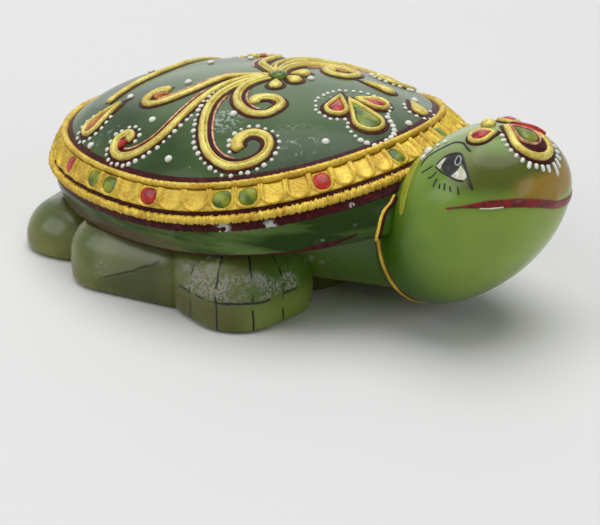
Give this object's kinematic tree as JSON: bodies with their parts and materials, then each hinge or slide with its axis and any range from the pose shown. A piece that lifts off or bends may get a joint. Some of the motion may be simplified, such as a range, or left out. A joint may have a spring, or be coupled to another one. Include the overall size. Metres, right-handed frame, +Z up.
{
  "type": "turtle figurine",
  "caption": "Carved green stone turtle figurine with a domed shell, raised gilt scrolls, a jewelled rim, set drops and a painted face, standing on a flat underside.",
  "frame": {"origin": "on the ground plane under the middle of the overall length and width", "axes": "+X towards the head, +Y to the turtle's left, +Z up"},
  "size_m": [0.119, 0.0758, 0.0403],
  "materials": {
    "dark_jade": "polished dark green stone",
    "olive_jade": "polished olive green stone",
    "pale_jade": "polished pale green translucent stone",
    "gilding": "raised gesso under gold paint",
    "red_enamel": "glossy red enamel",
    "green_enamel": "glossy green enamel",
    "amber_enamel": "glossy amber enamel",
    "white_paint": "thick white paint"
  },
  "bodies": {
    "root": {"shell": "dark_jade", "underbody": "olive_jade", "head": "pale_jade", "rim_bead": "gilding", "rim_cup_band": "gilding", "rim_rope": "gilding", "neck_ring": "gilding", "rear_garland": "gilding", "bud_petals": "gilding", "trefoil_bezel": "gilding", "front_drop": "gilding", "crest_leaf": "gilding", "rear_drop_bezels": "gilding", "brow_bezel": "gilding", "brow_crest": "gilding", "right_long_scroll": "gilding", "right_curl_scroll": "gilding", "right_large_scroll": "gilding", "right_small_scroll": "gilding", "left_long_scroll": "gilding", "left_curl_scroll": "gilding", "left_large_scroll": "gilding", "left_small_scroll": "gilding", "rim_red_stones": "red_enamel", "trefoil_red_drops": "red_enamel", "curl_stones": "red_enamel", "brow_red_petals": "red_enamel", "rim_green_stones": "green_enamel", "trefoil_green_drop": "green_enamel", "bud_stone": "green_enamel", "brow_green_drop": "green_enamel", "rear_drop_stones": "amber_enamel", "long_scroll_drops": "amber_enamel", "white_dots": "white_paint"}
  },
  "joints": []
}
